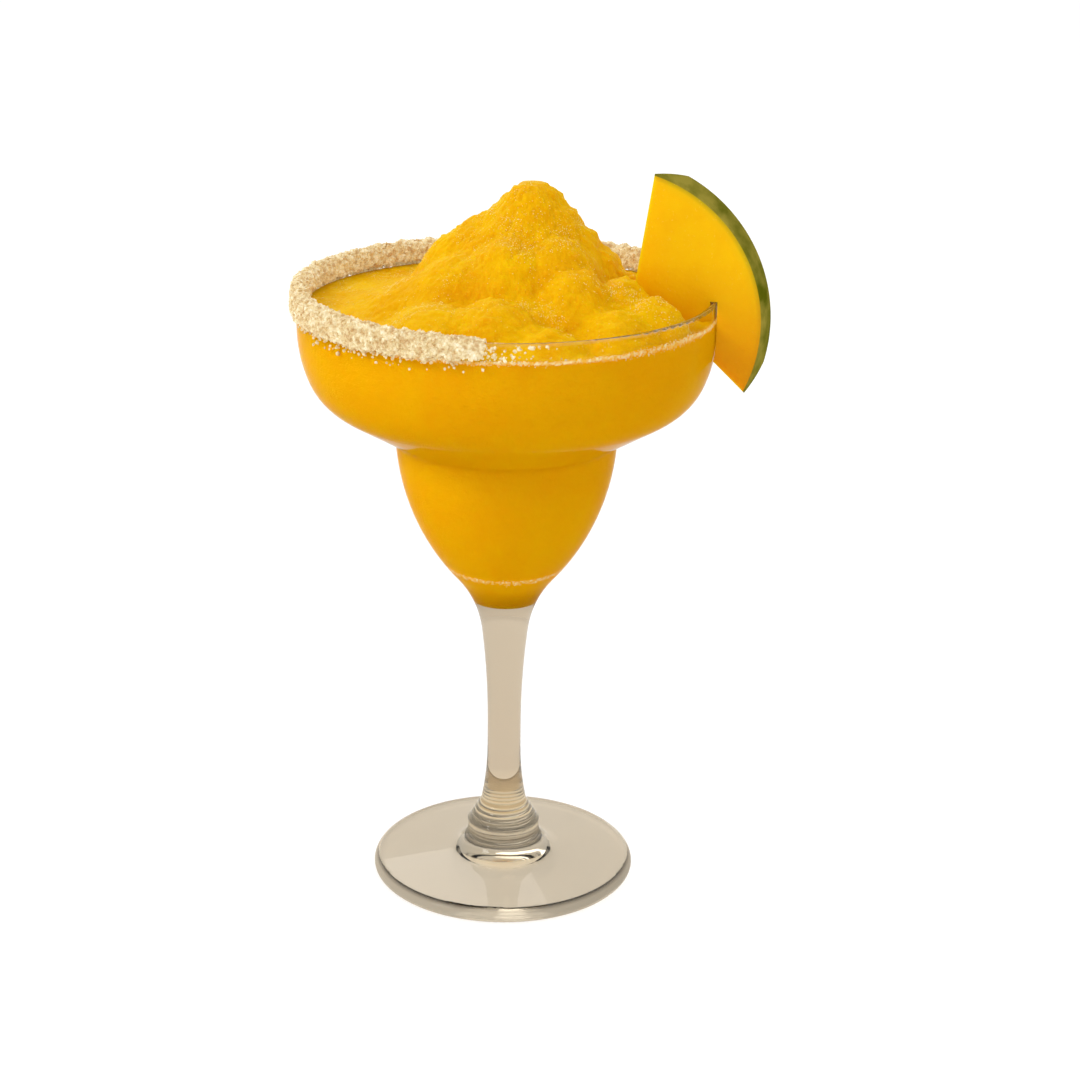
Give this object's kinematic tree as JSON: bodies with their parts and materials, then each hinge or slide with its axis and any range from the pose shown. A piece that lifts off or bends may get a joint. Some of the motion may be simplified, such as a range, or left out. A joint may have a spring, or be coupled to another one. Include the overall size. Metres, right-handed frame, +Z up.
{
  "type": "frozen margarita",
  "caption": "Frozen mango margarita heaped in a stepped stemmed glass with a salted rim and a mango wedge slit onto the lip.",
  "frame": {"origin": "middle of the foot, on the surface that the glass stands on", "axes": "+Z up the stem, -Y is the front, and the mango wedge sits on the rim at about +X"},
  "size_m": [0.1303, 0.1171, 0.2092],
  "materials": {
    "clear_glass": "clear, polished",
    "mango_slush": "wet, icy, slightly grainy",
    "mango_flesh": "moist cut fruit",
    "mango_skin": "thin satin skin",
    "salt": "coarse crystals"
  },
  "bodies": {
    "root": {"glass": "clear_glass", "slush": "mango_slush", "mango_wedge": "mango_flesh", "salt_rim": "salt"}
  },
  "joints": []
}
